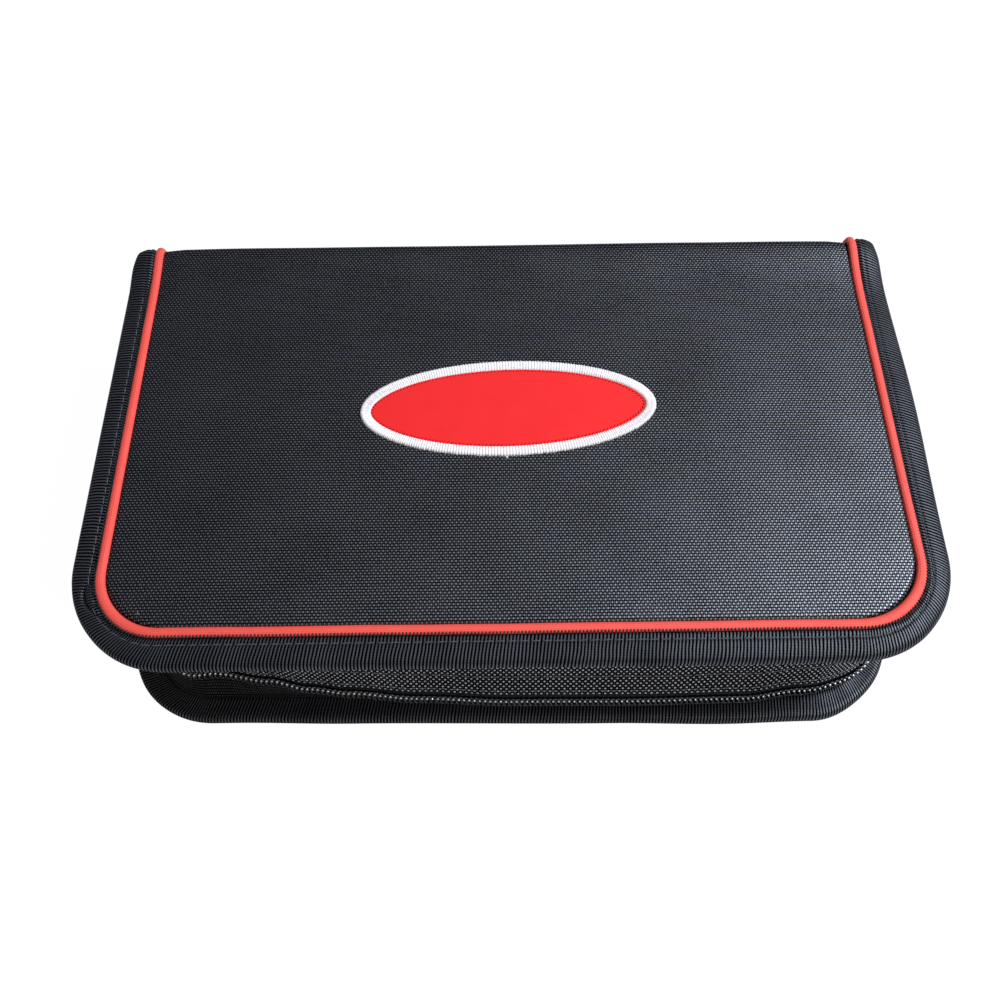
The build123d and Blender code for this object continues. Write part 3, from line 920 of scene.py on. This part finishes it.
def gusset_wall():
    """The gusset hangs from the seam of the lid to the zip, slack between and tight at the hem."""
    rows = 36
    piece = strip("gusset_cloth_wall", rows,
                  lambda index, row: wall_point(index, hem_share * row / (rows - 1)), gusset_cloth, wall_t)
    lines = []
    for number, share in enumerate(stitch_row_shares):
        points = [wall_point(index, share, 0.03 * mm) for index in range(len(base_line))]
        spots = evenly(points, wall_outs, pitch=3.0 * mm)
        lines.append(stitch_line(f"gusset_stitches_{number + 1}", spots, pale_thread, length=2.6, thick=0.2))
    stretched(piece)
    return [piece] + lines


def gusset_inside():
    """Lining behind the upper two thirds of the gusset."""
    rows = 24
    piece = strip("gusset_lining_wall", rows,
                  lambda index, row: wall_point(index, lining_share * row / (rows - 1), behind_wall),
                  gusset_lining_cloth, 0.4 * mm)
    return stretched(piece)


def upper_tape():
    """Woven tape of the upper half of the zip, up behind the gusset from the coil."""
    rows = 7
    roots = chain_line(1.7 * mm, 0.6 * mm)[0]

    def place(index, row):
        if row == rows - 1:
            return roots[index]
        return wall_point(index, tape_share + 0.3 * row / (rows - 2), behind_wall)

    piece = strip("zip_upper_cloth_tape", rows, place, tape_cloth, tape_t)
    return stretched(piece)


def lower_tape():
    """Woven tape of the lower half of the zip, from the seam of the base out to the coil."""
    seam, height = leaf_w + 0.25 * mm, base_high.z + 0.35 * mm
    roots = chain_line(-1.2 * mm, 0.35 * mm)[0]
    section = [(seam, height - 4.6 * mm), (seam, height - 0.8 * mm), (seam - 0.4 * mm, height),
               (seam - 1.6 * mm, height + 0.25 * mm)]

    def place(index, row):
        if row < len(section):
            inset, z = section[row]
            point = level_point(base_line[index], inset, z)
            fuzz = wave(point, 1.1 * mm, 6.6) * 0.2 * mm * (row > 1)
            return point + Vector((0, 0, fuzz))
        start = level_point(base_line[index], *section[-1])
        return start.lerp(roots[index], (row - len(section) + 1) / 3)

    piece = strip("zip_lower_cloth_tape", len(section) + 3, place, tape_cloth, tape_t)
    return stretched(piece)


def teeth(name, side):
    """One half of the coil: a slanted nylon turn every pitch, and its round head past the middle; the upper
    half's heads are near-white as a painted highlight.
    """
    frames, heads = [], []
    for place, along, _, out in evenly(*chain_line(0.0), tooth_pitch):
        up = to_sky * side
        middle = place + along * (side * tooth_pitch / 4) + up * 1.05 * mm
        lean = (up + along * 0.28 * side).normalized()
        frames.append(frame_matrix(middle, lean.cross(out), lean, out, (0.4, 1.3, 0.95)))
        head = middle + lean * 0.92 * mm + out * 0.64 * mm
        heads.append(frame_matrix(head, along, up, out, (0.35, 0.35, 0.35)))
    # Upper heads carry a painted highlight; lower heads stay plain dark nylon.
    head_finish = highlight_head_nylon if side > 0 else coil_nylon
    return joined_shapes(name, frames, coil_nylon, 2), joined_shapes(f"{name}_heads", heads, head_finish, 2)


def coil_root(name, side):
    """Stitched core at the root of the turns: a lock stitch over each turn."""
    frames = []
    for place, along, _, out in evenly(*chain_line(side * 2.75 * mm), tooth_pitch):
        lean = (along + Vector((0, 0, 0.35 * side))).normalized()
        frames.append(frame_matrix(place + out * 0.25 * mm, lean, out.cross(lean), out, (0.85, 0.3, 0.42)))
    return joined_shapes(name, frames, coil_nylon)


# ---------------------------------------------------------------- patch

patch_low, patch_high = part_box("patch_border")
patch_centre = Vector((*((patch_low + patch_high) / 2).xy, lid_z))
patch_a, patch_b = ((patch_high - patch_low) / 2).xy
ground_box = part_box("patch_ground")
border_w = patch_a - (ground_box[1].x - ground_box[0].x) / 2


def ellipse_stations(count):
    """Stations round the edge of the patch."""
    spots = []
    for share in spread(count):
        across, back = cos(2 * pi * share), sin(2 * pi * share)
        spots.append((patch_centre + Vector((patch_a * across, patch_b * back, 0)),
                      -Vector((across / patch_a, back / patch_b, 0)).normalized(), to_sky))
    return stations_from(spots)


def patch_edge():
    """Overlocked border: thick thread wound over the edge, one ridge after another."""
    ridge_count, per_ridge = 310, 6
    stations = ellipse_stations(ridge_count * per_ridge)
    stations.append(stations[0]._replace(along=stations[-1].along + 0.17 * mm))
    height = 1.1 * mm
    profile = [(1.0, -0.35), (0.94, -0.66), (0.84, -0.84), (0.7, -0.9), (0.55, -0.86), (0.42, -0.9),
               (0.28, -1.0), (0.14, -0.94), (0.04, -0.66), (0.0, -0.3), (0.03, 0.2), (0.5, 0.25), (1.0, 0.25)]
    section = [(border_w * across, height * up) for across, up in profile]
    order = {round(station.along / mm, 4): index for index, station in enumerate(stations)}

    def shift(station, inset, depth):
        index = order[round(station.along / mm, 4)]
        phase = index / per_ridge
        ridge = abs(sin(pi * phase))
        uneven = wave(Vector((index // per_ridge * 0.9, 0, 0)), 1.0, 7.7)
        outer = 1 - inset / border_w
        frayed = uneven * (0.22 if station.place.y < patch_centre.y else 0.12) * mm
        return (frayed - ridge * 0.12 * mm) * outer, -(ridge * 0.18 * mm + uneven * 0.06 * mm) * (depth < 0)

    return swept("patch_overlock", stations, section, white_thread, shift)


def round_patch(inset, height, pitch):
    """Spots every pitch on a ring inside the edge of the patch."""
    stations = ellipse_stations(360)
    line = [at(station, inset, -height) for station in stations + stations[:1]]
    return evenly(line, [to_sky] * len(line), pitch)


def patch_stitches():
    """Red satin stitches inside the border."""
    frames = []
    for place, along, side, out in round_patch(border_w + 0.45 * mm, height=0.72 * mm, pitch=1.15 * mm):
        lean = (along * 0.8 + side * 0.6).normalized()
        frames.append(frame_matrix(place, lean, out.cross(lean), out, (0.55, 0.2, 0.16)))
    return joined_shapes("patch_edge_stitches", frames, red_thread)


def needle_holes():
    """Needle holes along the inner side of the border."""
    frames = [frame_matrix(*spot, (0.13, 0.16, 0.13))
              for spot in round_patch(border_w * 0.8, height=0.93 * mm, pitch=0.73 * mm)]
    return joined_shapes("patch_needle_holes", frames, pale_thread)


def loose_thread():
    """Cut end of the border's thread, lying on the cloth beside the front of the patch."""
    frames = []
    start = patch_centre + Vector((-0.8 * mm, -patch_b + 0.1 * mm, 0.5 * mm))
    for step in ((-0.16, -0.2, -0.04), (-0.22, -0.16, -0.06), (-0.1, -0.2, -0.05), (0.12, -0.2, -0.03),
                 (0.25, -0.1, 0.0)):
        step = Vector(step)
        along = step.normalized()
        side = to_sky.cross(along).normalized()
        frames.append(frame_matrix(start + step * mm / 2, along, side, along.cross(side), (0.26, 0.17, 0.17)))
        start = start + step * mm
    return joined_shapes("patch_loose_thread", frames, white_thread, 2)


def patch_face():
    """The red cloth of the patch, slightly padded, down to under its border."""
    rings, count = 22, 120
    stations = ellipse_stations(count)
    stations.append(stations[0])

    def place(column, row):
        share = 1 - row / (rings - 1)
        point = patch_centre.lerp(at(stations[column], border_w - 0.5 * mm, 0), share)
        rise = (0.8 - 0.25 * share ** 8 + wave(point, 8 * mm, 9.2) * 0.06) * mm
        return point + Vector((0, 0, rise))

    def lay(column, row):
        point = place(column, row) - patch_centre
        return (point.x + point.y) * 0.7071, (point.y - point.x) * 0.7071

    bm = bent_grid(count + 1, rings, place, lay)
    bmesh.ops.remove_doubles(bm, verts=bm.verts, dist=0.001 * mm)
    return mesh_object("patch_cloth", face_out(bm, to_sky), patch_red)


# ---------------------------------------------------------------- hinge linings


def hinge_lining(name, shell, depth):
    """Lining cloth over the inside of a turn, from the cover's lining to the spine's."""
    half = shell.half - leaf_w
    radius = crease_r - depth
    rows, columns = 22, 60
    lap = 3 * mm
    length = 2 * lap + radius * pi / 2

    def place(column, row):
        x = (2 * column / (columns - 1) - 1) * half
        back = row / (rows - 1) * length
        if back < lap:
            return Vector((x, fold_y - lap + back, shell.level - shell.side * depth))
        if back < length - lap:
            angle = pi / 2 - (back - lap) / radius
            out = Vector((0, cos(angle), shell.side * sin(angle)))
            return Vector((x, fold_y, shell.turn_z)) + out * radius
        return Vector((x, fold_y + radius, shell.turn_z - shell.side * (back - length + lap)))

    bm = bent_grid(columns, rows, place, lambda column, row: (column * 4 * mm, row * 1 * mm))
    piece = mesh_object(name, face_out(bm, -shell.up), lining_cloth)
    return thicken(piece, 0.3 * mm)


# ---------------------------------------------------------------- pouch


def pouch():
    """Soft flat pouch, full of tiles: sewn flat round its edge, rumpled and sagging between."""
    low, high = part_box("tile_pouch")
    centre, size = (low + high) / 2, (high - low) / 2
    bm = bmesh.new()
    bmesh.ops.create_cube(bm, size=2.0)
    bmesh.ops.subdivide_edges(bm, edges=bm.edges, cuts=31, use_grid_fill=True)
    for vert in bm.verts:
        x, y, z = vert.co
        round_x = 1 - 0.02 * abs(y) ** 6 - 0.01 * z * z
        round_y = 1 - 0.04 * abs(x) ** 8 - 0.02 * z * z
        loft = (1 - abs(x) ** 22 * 0.8) * (1 - abs(y) ** 12 * 0.75)
        point = Vector((x * round_x * size.x, y * round_y * size.y, z * loft * size.z))
        rumple = wave(point, 13 * mm, 2.2) * 1.1 * mm + wave(point, 6 * mm, 5.5) * 0.4 * mm
        vert.co = centre + point + Vector((0, 0, -abs(rumple) if z > 0 else 0)) * loft
    bmesh.ops.recalc_face_normals(bm, faces=bm.faces)
    return mesh_object("tile_pouch_cloth", bm, pouch_cloth)


# ---------------------------------------------------------------- assembly


def belongs(piece, slot, body, *nodes):
    """Hides the nodes a piece stands for and hangs the piece on its body, if one; slot is not used."""
    if nodes:
        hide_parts(*nodes)
    if body:
        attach(piece, body)


def across_turn(piece, shell, body):
    """Bakes a piece's placement into its mesh."""
    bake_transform(piece)


def dress(shell, bodies, corners, outer, inner, proud, crown, droop):
    """Cloth, binding, piping and sewing of one cover and its half of the spine. bodies starts
    with the cover's own and holds those whose solids the pieces stand for."""
    name = bodies[0]
    cloth = panel_cloth(f"{name}_cover_cloth", shell, corners, crown)
    tape = binding(f"{name}_cover_binding", shell, corners, outer, inner, droop)
    cord = piping(f"{name}_cover_piping", shell, corners, proud)
    lines = band_lines(shell, corners)
    line = [across_band(*ends, seam_stitch_inset, outer + 0.02 * mm) for ends in zip(*lines)]
    spots = evenly(line, [one.outward for one in lines[0]], pitch=3.2 * mm)
    sewing = stitch_line(f"{name}_seam_stitches", spots, grey_thread, length=2.9, thick=0.17)
    loops = edge_loops(f"{name}_edge_loops", shell, corners, outer - 1.1 * mm)
    for piece, slot, part in ((cloth, "shell_cloth", "fabric"), (tape, "binding_black", "binding"),
                              (cord, "piping_red", "piping"), (sewing, "binding_black", None),
                              (loops, "binding_black", None)):
        belongs(piece, slot, None, *(f"{body}_{part}" for body in bodies if part))
        across_turn(piece, shell, name)


dress(top, ("lid", "spine"), lid_piping_corners, lid_z - lid_high.z, lid_z - lid_low.z, lid_piping_proud,
      0.3 * mm, 1.0)
dress(bottom, ("base",), base_piping_corners, base_low.z - base_z, base_high.z - base_z, base_piping_proud,
      0.0, 0.0)

gusset, *gusset_sewing = gusset_wall()
belongs(gusset, "shell_cloth", "lid", "gusset_fabric")
for piece in gusset_sewing:
    belongs(piece, "shell_cloth", "lid")
belongs(gusset_inside(), "lining_cloth", "lid", "gusset_lining")
belongs(upper_tape(), "zip_tape", "lid", "zip_tape_upper")
belongs(lower_tape(), "zip_tape", "base", "zip_tape_lower")
for body, side, node in (("lid", 1, "zip_coil_upper"), ("base", -1, "zip_coil_lower")):
    turns, heads = teeth(f"{body}_zip_teeth", side)
    belongs(turns, "zip_coil", body, node)
    for piece in (heads, coil_root(f"{body}_zip_core", side)):
        belongs(piece, "zip_coil", body)

sewn_askew = (Matrix.Translation(patch_centre + Vector((0, 0.6 * mm, 0)))
              @ Matrix.Rotation(radians(1.5), 4, "Z") @ Matrix.Translation(-patch_centre))
for piece, slot, *nodes in (
        (patch_edge(), "patch_white", "patch_border"), (patch_face(), "patch_red", "patch_ground"),
        (patch_stitches(), "patch_red"), (loose_thread(), "patch_white"), (needle_holes(), "patch_white")):
    piece.data.transform(sewn_askew)
    belongs(piece, slot, "lid", *nodes)

lining_depth = lid_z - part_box("lid_lining")[0].z
for shell, body in ((top, "lid"), (bottom, "base")):
    inner_strip = hinge_lining(f"{body}_hinge_lining", shell, lining_depth)
    belongs(inner_strip, "lining_cloth", None)
    across_turn(inner_strip, shell, body)

soft_pouch = pouch()
belongs(soft_pouch, "pouch_cloth", "base", "tile_pouch")

for material, nodes in (
        (moulded("board_plastic", (0.30, 0.36, 0.34), (0.36, 0.42, 0.40), 0.45),
         ["board_upper", "board_lower"]),
        (moulded("rack_plastic", (0.50, 0.045, 0.035), (0.58, 0.06, 0.045), 0.3, coat=0.3),
         [f"rack_{index}" for index in range(1, 5)]),
        (moulded("tile_plastic", (0.84, 0.77, 0.62), (0.90, 0.84, 0.70), 0.35), ["tiles"]),
        (moulded("black_plastic", (0.015, 0.015, 0.016), (0.03, 0.03, 0.032), 0.35),
         ["board_upper_rivets", "board_lower_rivets", "zip_end_stops"]),
        (moulded("foam_layer", (0.22, 0.22, 0.23), (0.32, 0.32, 0.33), 0.9, grain=1600.0, depth=0.15),
         ["lid_foam", "base_foam", "spine_foam"]),
        (moulded("stiff_sheet", (0.06, 0.06, 0.06), (0.09, 0.09, 0.09), 0.7),
         ["lid_stiffener", "base_stiffener", "spine_stiffener"]),
        (lining_cloth, ["lid_lining", "base_lining", "spine_lining"]),
        (enamel("black_enamel"), ["zip_slider", "zip_pull"])):
    for node in nodes:
        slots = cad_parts[node].data.materials
        slots.clear()
        slots.append(material)


# ---------------------------------------------------------------- stage, light and camera


def ground():
    """Pale floor, drawn near white to the camera but still taking the shadow of the case."""
    bm = bmesh.new()
    bmesh.ops.create_grid(bm, x_segments=1, y_segments=1, size=3.0)
    finish = Finish("floor", 0.9, 0.0)
    finish.give("Base Color", (0.92, 0.92, 0.92))
    nodes = finish.tree.nodes
    glow, path, blend = (nodes.new(f"ShaderNode{kind}") for kind in ("Emission", "LightPath", "MixShader"))
    glow.inputs["Strength"].default_value = 1.03
    feed(blend.inputs[0], Signal(path.outputs["Is Camera Ray"]) * 0.96)
    feed(blend.inputs[1], Signal(nodes["Principled BSDF"].outputs[0]))
    feed(blend.inputs[2], Signal(glow.outputs[0]))
    feed(nodes["Material Output"].inputs["Surface"], Signal(blend.outputs[0]))
    floor = mesh_object("floor", bm, finish.material)
    floor.data.transform(Matrix.Translation((0, 0, base_z - 0.05 * mm)))


def lamp(name, place, size, power, colour):
    """Round lamp that looks at the middle of the ground under the case."""
    data = bpy.data.lights.new(name, "AREA")
    data.shape, data.size, data.energy, data.color = "DISK", size, power, colour
    item = shown(name, data)
    item.location = place
    item.rotation_euler = (-Vector(place)).to_track_quat("-Z", "Y").to_euler()


def surroundings():
    """Dim room, drawn white to the camera."""
    world = bpy.data.worlds.new("room")
    bpy.context.scene.world = world
    world.use_nodes = True
    nodes = world.node_tree.nodes
    nodes["Background"].inputs["Color"].default_value = (1, 1, 1, 1)
    seen = Signal(nodes.new("ShaderNodeLightPath").outputs["Is Camera Ray"])
    feed(nodes["Background"].inputs["Strength"], seen * 0.88 + 0.12)


def viewpoint():
    """Camera in front of the case and above it, looking down at the lid."""
    pitch, yaw, roll = 1.0766, -0.0038, -0.0092
    camera = bpy.data.cameras.new("view")
    camera.sensor_width, camera.lens, camera.clip_start = 36.0, 36.72, 0.01
    item = bpy.context.scene.camera = shown("view", camera)
    turn = (Matrix.Rotation(yaw, 3, "Z") @ Matrix.Rotation(pi / 2 - pitch, 3, "X")
            @ Matrix.Rotation(roll, 3, "Z"))
    item.matrix_world = Matrix.Translation((-3.46 * mm, -163.04 * mm, 311.99 * mm)) @ turn.to_4x4()


ground()
surroundings()
lamp("window", (0.76, 0.12, 0.98), size=0.5, power=17.5, colour=(0.78, 0.87, 1.03))
lamp("front_fill", (0.5, -0.62, 0.8), size=0.14, power=3.2, colour=(1.0, 0.98, 0.95))
viewpoint()
bpy.context.scene.view_settings.view_transform = "Standard"
